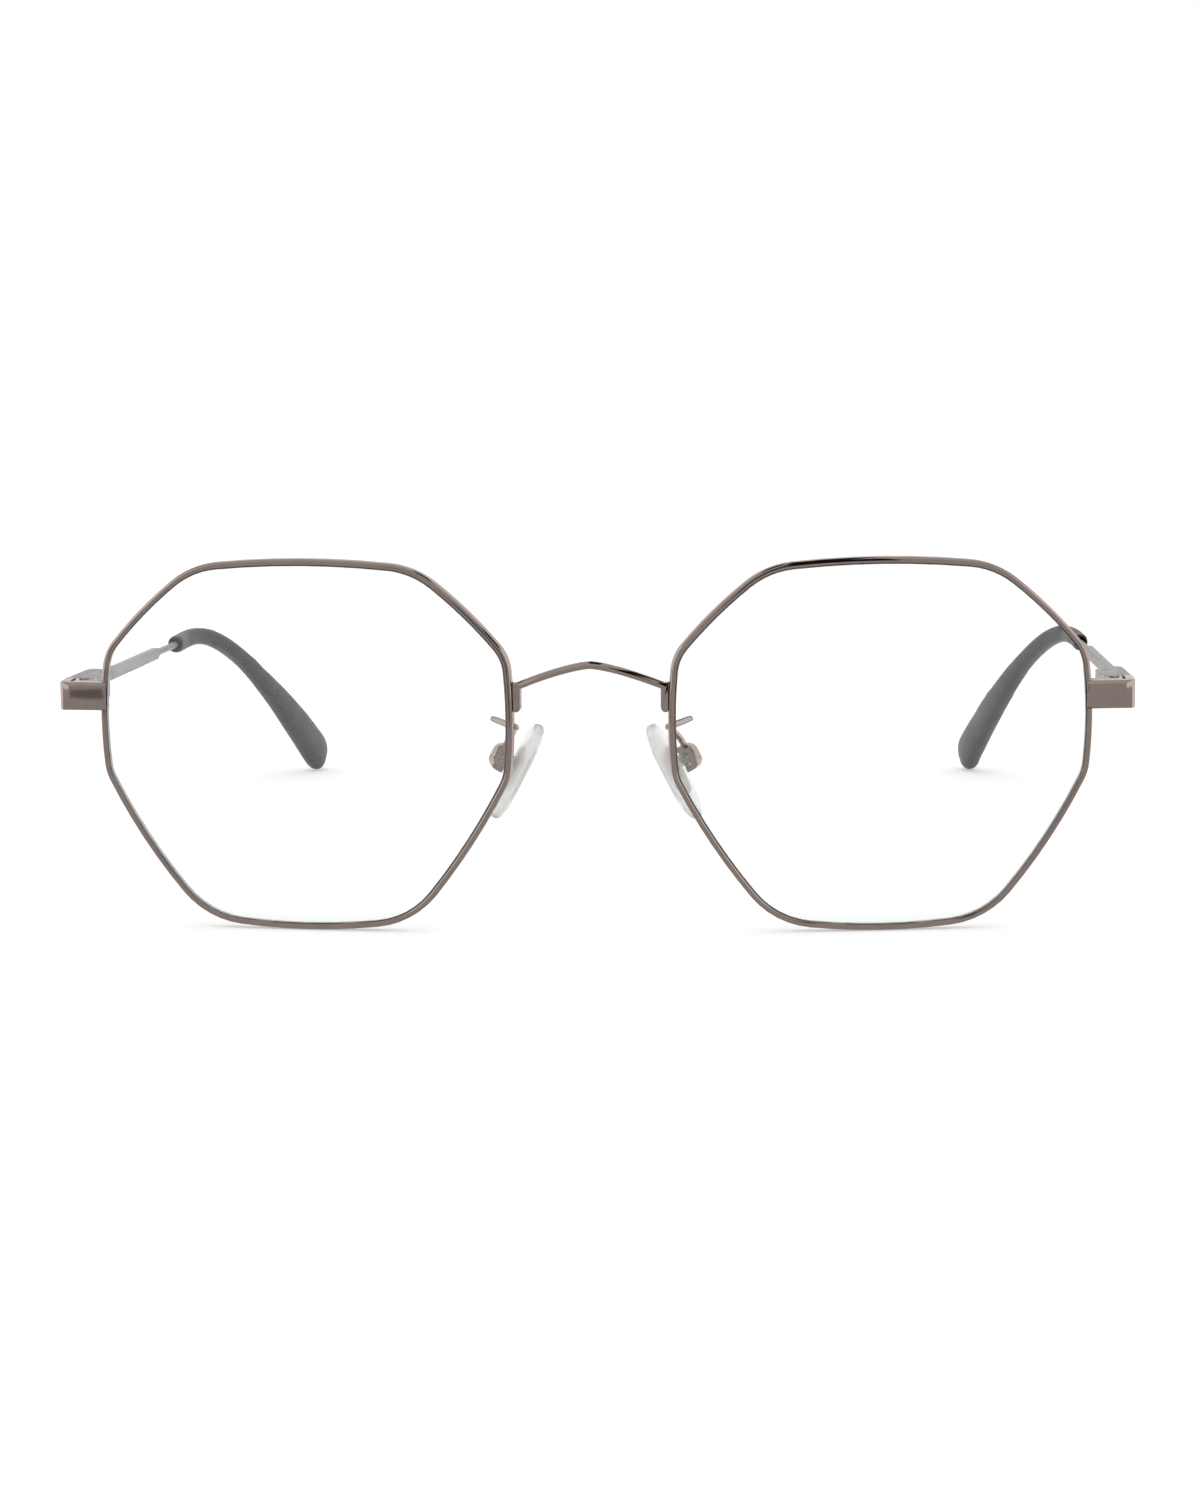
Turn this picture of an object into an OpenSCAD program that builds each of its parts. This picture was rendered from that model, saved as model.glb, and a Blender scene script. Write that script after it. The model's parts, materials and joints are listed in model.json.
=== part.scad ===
// Octagonal wire-rimmed eyeglasses with folding temples and rocking nose pads.
// Lengths are millimetres. +X is to the right seen from the front, +Y runs back along
// the temples, +Z is up. The origin lies on the table under the middle of the part.

/* [Lenses] */
// Width of a lens between its side corners, to the bottom of the rim's groove
lens_w = 50.6; // [46:0.2:58]
// Height of a lens between its top and bottom corners
lens_h = 44.2; // [41:0.2:50]
// Length of the top edge between its corners
top_edge = 28; // [24:0.2:30]
// Length of the bottom edge between its corners
bottom_edge = 26.4; // [24:0.2:30]
// Height of the side edges' upper corners above the lens's centre
side_top = 11.1; // [9:0.1:13]
// Height of the side edges' lower corners below the lens's centre
side_bottom = 3.7; // [2:0.1:6]
// Rounding of the top and bottom corners
flat_corner_r = 10.5; // [6:0.5:13]
// Rounding of the side corners
side_corner_r = 5.5; // [3:0.5:8]
// Half the angle through which each edge curves between its corners
edge_turn = 5.8; // [1:0.1:8]
// Radius of the lens's front curve
base_r = 130; // [100:5:200]
// Thickness of a lens
lens_t = 1.6; // [1.2:0.1:2]

/* [Rims] */
// Width of the rim wire seen from the front
rim_w = 0.8; // [0.75:0.05:1.3]
// Depth of the rim wire from front to back
rim_d = 1.7; // [1.6:0.1:2.2]
// Depth of the groove that holds the lens
groove = 0.4; // [0.3:0.05:0.5]
// Clearance between a lens and its rim
lens_gap = 0.07; // [0.04:0.01:0.12]
// Gap between the rim's two ends at the lock
rim_split = 0.2; // [0.1:0.05:0.4]

/* [Front] */
// Distance between the two lenses
lens_spacing = 20.2; // [16:0.2:24]
// Angle by which each lens wraps back at its outer side
wrap = 7; // [3:0.5:9]
// Angle by which the lenses lean forward at the top
tilt = 1; // [0:0.5:6]

/* [Bridge] */
// Height of the bridge's crest above the lens's centre
crest_h = 10.8; // [9:0.1:12]
// Drop of the bridge from its crest to its feet
crest_drop = 2.8; // [1.5:0.1:3.5]
// Distance that the crest stands forward of its feet
crest_forward = 1.2; // [0:0.1:3]
// Height of the bridge wire
bridge_h = 1; // [0.8:0.05:1.4]
// Depth of the bridge wire
bridge_d = 1.3; // [1:0.05:1.8]
// Length of the feet brazed to the rims
foot_h = 3.6; // [2.5:0.1:5]
// Width of a foot
foot_w = 1.1; // [0.9:0.05:1.4]
// Width of the open seam between a foot and its rim at the front
seam_w = 0.12; // [0.05:0.01:0.2]
// Depth of that seam behind the front of the foot
seam_d = 0.7; // [0.3:0.05:0.9]

/* [Endpieces] */
// Height of an endpiece's middle above the lens's centre
end_h = 5.7; // [4:0.1:8]
// Height of an endpiece's front plate
plate_h = 3.5; // [3.2:0.1:4.4]
// Reach of an endpiece outwards from the middle of the rim wire
end_reach = 5.8; // [5.3:0.1:7]
// Thickness of the front plate
plate_t = 1.5; // [1.2:0.1:2]
// Thickness of the return that runs back along the side
return_t = 1.1; // [0.9:0.05:1.4]
// Rounding of the outer corner
corner_r = 1.6; // [1.2:0.1:2]
// Bevel along the plate's upper and lower front edges
bevel = 0.35; // [0.1:0.05:0.6]
// Thickness of the lap in front of the rim
lap_t = 0.4; // [0.2:0.05:0.6]

/* [Rim locks] */
// Size of a lock block from front to back
lock_d = 1.6; // [1.4:0.1:1.7]
// Width of a lock block
lock_w = 1.5; // [1.4:0.05:1.55]
// Radius of the lock screw's shaft
lock_screw_r = 0.45; // [0.35:0.05:0.5]
// Radius of the lock screw's head
lock_head_r = 0.65; // [0.55:0.05:0.7]
// Height of the lock screw's head
lock_head_h = 0.35; // [0.25:0.05:0.5]

/* [Hinges] */
// Distance of the hinge axis behind the middle of the rim wire
hinge_back = 5; // [4.8:0.1:6]
// Outer radius of the hinge knuckles
knuckle_r = 1.35; // [1.25:0.05:1.5]
// Clearance between the knuckles and the side plates
plate_gap = 0.1; // [0.05:0.05:0.2]
// Axial clearance between neighbouring knuckles
knuckle_gap = 0.05; // [0.03:0.01:0.1]
// Height of the temple's middle knuckle
mid_knuckle_h = 1.25; // [1:0.05:1.5]
// Radius of the hinge screw's shaft
hinge_screw_r = 0.7; // [0.5:0.05:0.8]
// Running clearance around the hinge screw
hinge_run = 0.03; // [0.01:0.01:0.06]
// Radius of the hinge screw's head
hinge_head_r = 0.95; // [0.85:0.05:1.1]
// Height of the hinge screw's head
hinge_head_h = 0.4; // [0.3:0.05:0.6]
// Length of the hinge leaf on the temple
leaf_len = 11; // [8:0.5:14]
// Width of the hinge leaves
leaf_w = 2.4; // [2:0.1:2.6]
// Radius of the rivet hole in the temple's leaf
rivet_r = 0.65; // [0.4:0.05:0.8]
// Depth of the rivet hole
rivet_depth = 0.8; // [0.4:0.1:1.2]
// Width of a screwdriver slot
slot_w = 0.28; // [0.2:0.02:0.35]

/* [Temples] */
// Length of the straight part behind the hinge axis
shank_len = 80; // [68:0.5:90]
// Length of the tip behind the straight part
tip_back = 52; // [45:0.5:60]
// Distance that the tip's end is drawn inwards
tip_in = 14.4; // [8:0.1:18]
// Outward splay of the straight part
splay = 0; // [0:0.1:2]
// Downward slope of the straight part
slope = 2.2; // [1.5:0.1:4]
// Slope of the tip at its end
tip_slope = 35; // [28:0.5:42]
// Length of the full height head behind the hinge axis
head_len = 12; // [8:0.5:16]
// Length of the taper behind the head
head_taper = 14; // [8:1:20]
// Height of the flat strip
strip_h = 1.6; // [1.4:0.1:2.4]
// Distance of the strip's end from the hinge axis
strip_len = 63; // [50:1:66]
// Radius of the core wire
core_r = 0.48; // [0.4:0.02:0.6]
// Gap between a temple's end and its endpiece when open
butt_gap = 0.1; // [0.05:0.05:0.2]

/* [Temple tips] */
// Height of the sleeve at its mouth
sleeve_h = 2.5; // [2.3:0.1:3]
// Width of the sleeve at its mouth
sleeve_w = 2.4; // [1.9:0.05:2.7]
// Height of the paddle
paddle_h = 7.2; // [4:0.1:8]
// Width of the paddle
paddle_w = 3.6; // [2.4:0.1:4]
// Clearance between the core wire and the sleeve's bore
core_gap = 0.05; // [0.02:0.01:0.1]
// Length of solid plastic beyond the core's end
tip_solid = 9; // [6:0.5:14]

/* [Nose pads] */
// Distance of a pad's screw from the middle plane
pin_x = 11.3; // [10:0.1:13]
// Distance of a pad's screw behind the lens's centre
pin_y = 8; // [7:0.1:10]
// Depth of a pad's screw below the lens's centre
pin_drop = 2.4; // [1:0.1:4]
// Lean of a pad seen from the front
pad_lean = 28; // [20:1:35]
// Turn of a pad seen from above
pad_turn = 13; // [10:1:30]
// Length of a pad
pad_len = 13; // [11:0.2:16]
// Width of a pad
pad_w = 7; // [6:0.2:8]
// Thickness of a pad
pad_t = 2.1; // [2:0.1:3.2]
// Distance of a pad's middle below its screw
pad_low = 0.8; // [0:0.1:3]
// Distance of a pad's back from its screw
pad_off = 1.15; // [0.95:0.05:1.4]
// Height of the box that holds a pad
box_h = 3.4; // [3.2:0.1:4.4]
// Reach of the box outwards from the screw
box_reach = 1.65; // [1.6:0.05:2.4]
// Thickness of the box's two walls
box_wall = 0.5; // [0.4:0.05:0.7]
// Thickness of the pad's tab between those walls
tab_t = 0.9; // [0.7:0.05:1.2]
// Side clearance of the tab in its box
tab_gap = 0.06; // [0.04:0.01:0.1]
// Radius of the pad screw's shaft
pin_r = 0.4; // [0.3:0.02:0.45]
// Running clearance around the pad screw
pin_run = 0.04; // [0.02:0.01:0.06]
// Radius of the pad screw's head
pin_head_r = 0.62; // [0.55:0.02:0.7]
// Radius of the pad arm's wire
arm_r = 0.42; // [0.35:0.01:0.5]
// Height of the arm's stub above the lens's centre
stub_h = 2.55; // [1.5:0.05:4]

/* [Hidden] */

gunmetal = [0.49, 0.44, 0.42];
light_metal = [0.72, 0.72, 0.72];
sleeve_grey = [0.25, 0.26, 0.26];
clear_lens = [0.85, 0.92, 0.94, 0.25];
milky = [0.88, 0.89, 0.87, 0.8];

round_steps = 48;
braze = 0.15;
slack = 0.02;

// Shared vector helpers

function unit(v) = v / norm(v);
function left_of(v) = [-v[1], v[0]];
function signed_power(v, p) = sign(v) * pow(abs(v), p);
function lerp(a, b, t) = a + (b - a) * t;
function smooth(t) = t * t * (3 - 2 * t);
function bezier(p, t) = pow(1 - t, 3) * p[0] + 3 * pow(1 - t, 2) * t * p[1]
    + 3 * (1 - t) * t * t * p[2] + t * t * t * p[3];
function turn_x(p, a) = [p[0], p[1] * cos(a) - p[2] * sin(a), p[1] * sin(a) + p[2] * cos(a)];
function turn_y(p, a) = [p[0] * cos(a) + p[2] * sin(a), p[1], -p[0] * sin(a) + p[2] * cos(a)];
function turn_z(p, a) = [p[0] * cos(a) - p[1] * sin(a), p[0] * sin(a) + p[1] * cos(a), p[2]];

// Faces of a tube of rings with m points each. An end is capped by a fan around its
// point hub, or closed to the single point that comes before or after the rings.

function tube_faces(rings, m, first = 0) = [
    for (i = [0 : rings - 2], j = [0 : m - 1])
        let (a = first + i * m + j, b = first + i * m + (j + 1) % m)
            each [[a, b, b + m], [a, b + m, a + m]]];
function cap_faces(at, m, hub, flip) = [
    for (j = [1 : m - 2])
        let (a = at + (hub + j) % m, b = at + (hub + j + 1) % m)
            flip ? [at + hub, a, b] : [at + hub, b, a]];
function point_faces(point, at, m, flip) = [
    for (j = [0 : m - 1])
        flip ? [point, at + j, at + (j + 1) % m] : [point, at + (j + 1) % m, at + j]];

module tube(rings, hub = 0) {
    m = len(rings[0]);
    n = len(rings);
    polyhedron([for (ring = rings) each ring],
               concat(tube_faces(n, m), cap_faces(0, m, hub, false), cap_faces((n - 1) * m, m, hub, true)));
}

module pointed_tube(start, rings, end) {
    m = len(rings[0]);
    n = len(rings);
    polyhedron(concat([start], [for (ring = rings) each ring], [end]),
               concat(point_faces(0, 1, m, false), tube_faces(n, m, 1),
                      point_faces(n * m + 1, 1 + (n - 1) * m, m, true)));
}

// Lens outline: eight rounded corners joined by shallow arcs. It runs anticlockwise
// seen from the front, and its first coordinate grows towards the temple.

half_w = lens_w / 2;
half_h = lens_h / 2;
half_top = top_edge / 2;
half_bottom = bottom_edge / 2;
corners = [[half_w, side_top], [half_top, half_h], [-half_top, half_h], [-half_w, side_top],
           [-half_w, -side_bottom], [-half_bottom, -half_h], [half_bottom, -half_h], [half_w, -side_bottom]];
corner_rs = [for (p = corners) abs(p[1]) == half_h ? flat_corner_r : side_corner_r];
corner_steps = 6;
edge_steps = 6;

function wrapped(i) = (i + 8) % 8;
function edge_dir(i) = unit(corners[wrapped(i + 1)] - corners[wrapped(i)]);
function corner_turn(i) = acos(edge_dir(i - 1) * edge_dir(i));
function tangent(i) = corner_rs[wrapped(i)] * sin(corner_turn(i) / 2 - edge_turn) / cos(corner_turn(i) / 2);
function edge_start(i) = corners[wrapped(i)] + edge_dir(i) * tangent(i);
function edge_end(i) = corners[wrapped(i + 1)] - edge_dir(i) * tangent(i + 1);
function edge_len(i) = norm(edge_end(i) - edge_start(i));
function edge_r(i) = edge_len(i) / 2 / sin(edge_turn);
function edge_bow(i) = edge_r(i) * (1 - cos(edge_turn));
function outward(d, a) = -left_of(d) * cos(a) + d * sin(a);

// Each outline station is [point, outward normal]
function edge_station(i, s) =
    let (d = edge_dir(i), r = edge_r(i), a = asin((s - 0.5) * edge_len(i) / r))
        [lerp(edge_start(i), edge_end(i), s) - left_of(d) * r * (cos(a) - cos(edge_turn)), outward(d, a)];
function corner_station(i, s) =
    let (d = edge_dir(i - 1), r = corner_rs[wrapped(i)],
         centre = corners[wrapped(i)] - d * tangent(i) - outward(d, edge_turn) * r,
         out = outward(d, lerp(edge_turn, corner_turn(i) - edge_turn, s)))
        [centre + out * r, out];
function edge_stations(i, from, to) =
    [for (k = [1 : edge_steps - 1]) edge_station(i, lerp(from, to, k / edge_steps))];
function corner_stations(i) = [for (k = [0 : corner_steps]) corner_station(i, k / corner_steps)];

temple_edge = 7;
function edge_share(height) = (height - edge_start(temple_edge)[1])
    / (edge_end(temple_edge)[1] - edge_start(temple_edge)[1]);

outline = [for (i = [0 : 7]) each concat(corner_stations(i), edge_stations(i, 0, 1))];

// Height of the rim's split in the lens's own plane
split_v = end_h / cos(tilt);
split_low = edge_share(split_v - rim_split / 2);
split_high = edge_share(split_v + rim_split / 2);
rim_stations = concat(
    [edge_station(temple_edge, split_high)],
    edge_stations(temple_edge, split_high, 1),
    [for (i = [0 : 6]) each concat(corner_stations(i), edge_stations(i, 0, 1))],
    corner_stations(7),
    edge_stations(temple_edge, 0, split_low),
    [edge_station(temple_edge, split_low)]);

// Lens plane to world. The lens's centre is at height zero until stand() lifts the part.

lens_x = lens_spacing / 2 + (half_w + edge_bow(temple_edge)) * cos(wrap);
function sag(uv) = base_r - sqrt(base_r * base_r - uv * uv);
function lens_world(uv, depth) = [lens_x, 0, 0] + turn_z(turn_x([uv[0], depth, uv[1]], tilt), wrap);
function rim_point(station, r, e) = lens_world(station[0] + station[1] * r, sag(station[0]) + e);

rim_chamfer = 0.2;
rim_inner = -groove;
rim_outer = rim_w - groove;
rim_section = [
    [0, 0], [rim_inner, groove], [rim_inner, rim_d / 2 - rim_chamfer], [rim_inner + rim_chamfer, rim_d / 2],
    [rim_outer - rim_chamfer, rim_d / 2], [rim_outer, rim_d / 2 - rim_chamfer],
    [rim_outer, rim_chamfer - rim_d / 2], [rim_outer - rim_chamfer, -rim_d / 2],
    [rim_inner + rim_chamfer, -rim_d / 2], [rim_inner, rim_chamfer - rim_d / 2], [rim_inner, -groove]];
rim_rings = [for (station = rim_stations) [for (p = rim_section) rim_point(station, p[0], p[1])]];
rim_points = [for (ring = rim_rings) each ring];
table_z = min([for (p = rim_points) p[2]]);

// Places that the other pieces are built from: the middle of the rim wire at its split,
// the outer face of the endpiece and the hinge axis.

split_station = edge_station(temple_edge, edge_share(split_v));
anchor = rim_point(split_station, (rim_inner + rim_outer) / 2, 0);
end_z = anchor[2];
outer_x = anchor[0] + end_reach;
axis_x = outer_x - return_t - plate_gap - knuckle_r;
axis_y = anchor[1] + hinge_back;
front_y = anchor[1] - rim_d / 2 - lap_t;
lap_inset = lens_t / 2 * sin(wrap) + 0.1;
inner_x = anchor[0] - rim_w / 2 + lap_inset;

// Temple's middle line: straight, then a curve that drops and draws in to rest on the table

plate_x = outer_x - return_t / 2;
shank_dir = unit([sin(splay), cos(splay), -sin(slope)]);
shank_start = [plate_x, axis_y, end_z];
shank_end = shank_start + shank_dir * shank_len;
tip_turn = 13.5;
tip_end_dir = [-sin(tip_turn) * cos(tip_slope), cos(tip_turn) * cos(tip_slope), -sin(tip_slope)];
tip_lead = tip_back * 0.32;
tip_trail = tip_back;
end_speed = 3 * tip_trail;
function tip_curve(end_height) =
    let (end = [shank_end[0] - tip_in, shank_end[1] + tip_back, end_height])
        [shank_end, shank_end + shank_dir * tip_lead, end - tip_end_dir * tip_trail, end];
function curve_dir(curve, t) = unit(bezier(curve, min(t + 0.01, 1)) - bezier(curve, max(t - 0.01, 0)));

// Ring of a flat-sided or round section square to a direction. A power of 1 makes an
// ellipse, and smaller powers make it squarer.

function ring(centre, dir, half_w, half_h, power, m) =
    let (side = unit([dir[1], -dir[0], 0]), up = cross(side, dir))
        [for (k = [0 : m - 1]) let (a = 360 * k / m)
            centre + side * half_w * signed_power(cos(a), power) + up * half_h * signed_power(sin(a), power)];

sleeve_sides = 16;
sleeve_steps = 22;
sleeve_power = 0.85;
sleeve_round = 1 - paddle_h / 2 / end_speed;
grow_start = 0.62;
grow_len = 0.53;
function sleeve_grow(t) = smooth(min(max((t - grow_start) / grow_len, 0), 1));
function sleeve_cap(t) = t < sleeve_round ? 1 : sqrt(1 - pow((t - sleeve_round) / (1 - sleeve_round), 2));
function sleeve_ring(curve, t) = ring(bezier(curve, t), curve_dir(curve, t),
    lerp(sleeve_w, paddle_w, sleeve_grow(t)) / 2 * sleeve_cap(t),
    lerp(sleeve_h, paddle_h, sleeve_grow(t)) / 2 * sleeve_cap(t), sleeve_power, sleeve_sides);
cap_shares = [0.35, 0.6, 0.8, 0.92, 0.98];
sleeve_ts = concat([for (k = [0 : sleeve_steps]) sleeve_round * k / sleeve_steps],
                   [for (share = cap_shares) lerp(sleeve_round, 1, share)]);
function sleeve_rings(curve) = [for (t = sleeve_ts) sleeve_ring(curve, t)];
function lowest(rings) = min([for (ring_points = rings, p = ring_points) p[2]]);

function settled(end_height) = end_height + table_z - lowest(sleeve_rings(tip_curve(end_height)));
tip_path = tip_curve(settled(settled(settled(table_z))));
tip_rings = sleeve_rings(tip_path);

// The part stands on the table with the middle of its length at the origin

module stand() { translate([0, -mid_y, -table_z]) children(); }
module right() { stand() children(); }
module left() { stand() mirror([1, 0, 0]) children(); }
module in_lens_plane() { translate([lens_x, 0, 0]) rotate([0, 0, wrap]) rotate([tilt, 0, 0]) children(); }

// Rim: an open loop of grooved wire whose ends meet at the lock

module rim() { color(gunmetal) tube(rim_rings); }

// Lens: curved sheet with a V edge that lies in the rim's groove

lens_shares = [0.3, 0.65, 1];
function lens_ring(share, r, e) = [
    for (station = outline)
        let (uv = (station[0] + station[1] * r) * share)
            lens_world(uv, sag(uv) + e)];
shoulder_r = rim_inner - lens_gap;

module lens() {
    front = [for (share = lens_shares) lens_ring(share, shoulder_r, -lens_t / 2)];
    edge = [for (p = [[shoulder_r, -groove], [-lens_gap, 0], [shoulder_r, groove]])
        [for (station = outline) rim_point(station, p[0], p[1])]];
    back = [for (k = [len(lens_shares) - 1 : -1 : 0]) lens_ring(lens_shares[k], shoulder_r, lens_t / 2)];
    color(clear_lens)
        pointed_tube(lens_world([0, 0], -lens_t / 2), concat(front, edge, back),
                     lens_world([0, 0], lens_t / 2));
}

// Bridge: an arched wire between two feet that are brazed to the sides of the rims

nose_edge = 3;
foot_top_z = crest_h - crest_drop;
foot_mid_v = (foot_top_z - foot_h / 2) / cos(tilt);
function nose_share(height) = (height - edge_start(nose_edge)[1])
    / (edge_end(nose_edge)[1] - edge_start(nose_edge)[1]);
foot_station = edge_station(nose_edge, nose_share(foot_mid_v));
foot_u = foot_station[0][0] - rim_outer + braze - foot_w / 2;
foot_depth = sag(foot_station[0]);
foot_top = lens_world([foot_u, foot_mid_v + foot_h / 2 - bridge_h / 2], foot_depth);
back_y = max([for (ring_points = tip_rings, p = ring_points) p[1]]);
fore_y = min(min([for (p = rim_points) p[1]]), foot_top[1] - crest_forward - bridge_d / 2);
mid_y = (back_y + fore_y) / 2;
wire_steps = 28;
wire_sides = 14;
crest_power = 1.42;

function bridge_point(t) =
    let (reach = abs(t))
        [foot_top[0] * t, foot_top[1] - crest_forward * (1 - reach * reach),
         lerp(crest_h - bridge_h / 2, foot_top[2], pow(reach, crest_power))];
function bridge_dir(t) = unit(bridge_point(min(t + 0.01, 1)) - bridge_point(max(t - 0.01, -1)));
function bridge_ring(t) =
    let (dir = bridge_dir(t), back = unit(cross([0, 0, 1], dir)), up = cross(dir, back), c = bridge_point(t))
        [for (k = [0 : wire_sides - 1]) let (a = 360 * k / wire_sides)
            c + back * bridge_d / 2 * cos(a) - up * bridge_h / 2 * sin(a)];

module foot_outline() {
    translate([-foot_w / 2, -foot_h / 2 + foot_w / 2]) square([foot_w, foot_h - foot_w / 2]);
    translate([0, -foot_h / 2 + foot_w / 2]) circle(r = foot_w / 2, $fn = round_steps);
}

module foot() {
    rim_side = foot_w / 2 - braze - seam_w;
    in_lens_plane() translate([foot_u, foot_depth + bridge_d / 2, foot_mid_v]) rotate([90, 0, 0])
        difference() {
            linear_extrude(bridge_d) foot_outline();
            translate([rim_side, -foot_h, bridge_d - seam_d]) cube([foot_w, 2 * foot_h, bridge_d]);
        }
}

module bridge() {
    color(gunmetal) stand() {
        tube([for (k = [-wire_steps / 2 : wire_steps / 2]) bridge_ring(2 * k / wire_steps)]);
        foot();
        mirror([1, 0, 0]) foot();
    }
}

// Endpiece: a front plate that laps over the rim, turns a rounded corner and runs back

function plate_y(x) = front_y + (x - inner_x) * tan(wrap);
lap_seat = 0.25;
butt_y = axis_y - butt_gap / 2;
return_x = outer_x - return_t;
inside_r = 0.5;
plate_back_x = anchor[0] + rim_w / 2 + slack;
plate_depth = plate_t / cos(wrap);
corner_x = outer_x - corner_r;
corner_y = plate_y(corner_x) + corner_r / cos(wrap);
inside_y = plate_y(return_x - inside_r) + plate_depth + inside_r / cos(wrap);
arc_steps = 8;

function arc(x, y, r, from, to) = [for (k = [0 : arc_steps]) let (a = lerp(from, to, k / arc_steps))
    [x + r * cos(a), y + r * sin(a)]];

module endpiece() {
    plan = concat(
        [[inner_x, front_y]],
        arc(corner_x, corner_y, corner_r, wrap - 90, 0),
        [[outer_x, butt_y], [return_x, butt_y]],
        arc(return_x - inside_r, inside_y, inside_r, 0, wrap - 90),
        [[plate_back_x, plate_y(plate_back_x) + plate_depth],
         [plate_back_x, plate_y(plate_back_x) + lap_t + lap_seat],
         [inner_x, front_y + lap_t + lap_seat]]);
    color(gunmetal) difference() {
        translate([0, 0, end_z - plate_h / 2]) linear_extrude(plate_h) polygon(plan);
        for (up = [-1, 1])
            translate([inner_x, front_y, end_z + up * plate_h / 2]) rotate([0, 0, wrap]) rotate([45, 0, 0])
                translate([-1, -bevel / sqrt(2), -bevel / sqrt(2)])
                    cube([end_reach + rim_w + 2, bevel * sqrt(2), bevel * sqrt(2)]);
    }
}

// Rim lock: two blocks on the rim's ends, drawn together by a small vertical screw

lock_inset = 0.3;
lock_screw_back = 0.1;
lock_x = anchor[0] - lock_inset;
lock_y = anchor[1] + rim_d / 2 - 2 * braze;
lock_screw_x = lock_x + lock_w / 2;
lock_screw_y = lock_y + lock_d / 2 + lock_screw_back;
lock_low_z = end_z - plate_h / 2;
lock_top_z = end_z + plate_h / 2 - lock_head_h - 2 * slack;

module lock_block(low, high) {
    color(gunmetal) difference() {
        translate([lock_x, lock_y, low]) cube([lock_w, lock_d, high - low]);
        translate([lock_screw_x, lock_screw_y, low - 1])
            cylinder(h = high - low + 2, r = lock_screw_r + slack, $fn = round_steps);
    }
}

module lock_upper() { lock_block(end_z + rim_split / 2, lock_top_z); }
module lock_lower() { lock_block(lock_low_z, end_z - rim_split / 2); }

module slotted_screw(shaft_r, shaft_len, head_r, head_h) {
    difference() {
        union() {
            translate([0, 0, -shaft_len])
                cylinder(h = shaft_len + head_h / 2, r = shaft_r, $fn = round_steps);
            cylinder(h = head_h, r = head_r, $fn = round_steps);
        }
        translate([-head_r - 1, -slot_w / 2, head_h / 2]) cube([2 * head_r + 2, slot_w, head_h]);
    }
}

module lock_screw() {
    color(light_metal) translate([lock_screw_x, lock_screw_y, lock_top_z])
        slotted_screw(lock_screw_r, lock_top_z - lock_low_z - slack, lock_head_r, lock_head_h);
}

// Hinge: two knuckles on the endpiece, one on the temple's leaf, and a screw through all

stack_inset = 0.15;
stack_h = plate_h - 2 * stack_inset;
head_proud = 0.1;
rivet_edge = 0.4;
swing_gap = 0.15;
mid_z = mid_knuckle_h / 2;
hinge_bore_r = hinge_screw_r + hinge_run;
front_leaf_y = plate_y(axis_x - leaf_w / 2) + plate_depth - braze;
knuckle_back = knuckle_r + swing_gap;
head_seat = stack_h / 2 - hinge_head_h + head_proud;
leaf_round = 0.7;

module at_axis() { translate([axis_x, axis_y, end_z]) children(); }

module hinge_front() {
    tang_h = stack_h / 2 - mid_z - knuckle_gap;
    color(gunmetal) at_axis() difference() {
        union() {
            translate([-leaf_w / 2, front_leaf_y - axis_y, -stack_h / 2])
                cube([leaf_w, axis_y - front_leaf_y - knuckle_back, stack_h]);
            for (low = [-stack_h / 2, mid_z + knuckle_gap]) translate([0, 0, low]) {
                translate([-leaf_w / 2, -knuckle_back - swing_gap, 0])
                    cube([leaf_w, knuckle_back + swing_gap, tang_h]);
                cylinder(h = tang_h, r = knuckle_r, $fn = round_steps);
            }
        }
        translate([0, 0, -stack_h]) cylinder(h = 2 * stack_h, r = hinge_screw_r + slack, $fn = round_steps);
        translate([0, 0, head_seat]) cylinder(h = 1, r = hinge_head_r + slack, $fn = round_steps);
    }
}

module hinge_leaf() {
    leaf_out = return_x + braze - axis_x;
    plan = concat(
        [[leaf_out, knuckle_back], [leaf_out, leaf_len]],
        arc(leaf_round - leaf_w / 2, leaf_len - leaf_round, leaf_round, 90, 180),
        [[-leaf_w / 2, knuckle_back]]);
    color(light_metal) at_axis() difference() {
        union() {
            translate([0, 0, -mid_z]) cylinder(h = mid_knuckle_h, r = knuckle_r, $fn = round_steps);
            translate([-leaf_w / 2, 0, -mid_z]) cube([leaf_w, knuckle_back + swing_gap, mid_knuckle_h]);
            rotate([-slope, 0, 0]) translate([0, 0, -stack_h / 2]) linear_extrude(stack_h) polygon(plan);
        }
        translate([0, 0, -stack_h]) cylinder(h = 2 * stack_h, r = hinge_bore_r, $fn = round_steps);
        rotate([-slope, 0, 0]) translate([0, leaf_len - 2 * rivet_r - rivet_edge, stack_h / 2 - rivet_depth])
            cylinder(h = rivet_depth + 1, r = rivet_r, $fn = round_steps);
    }
}

module hinge_screw() {
    color(light_metal) at_axis() translate([0, 0, head_seat])
        slotted_screw(hinge_screw_r, head_seat + stack_h / 2, hinge_head_r, hinge_head_h);
}

// Temple: a full height head that tapers to a flat strip, then a round core wire

temple_sides = 16;
square_power = 0.3;
core_share = 1 - tip_solid / end_speed;
step_len = 1.5;
function shank_ring(s, half_h, power, half_w = return_t / 2) =
    ring(shank_start + shank_dir * s, shank_dir, half_w, half_h, power, temple_sides);
taper_steps = 6;
core_steps = 18;

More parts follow.
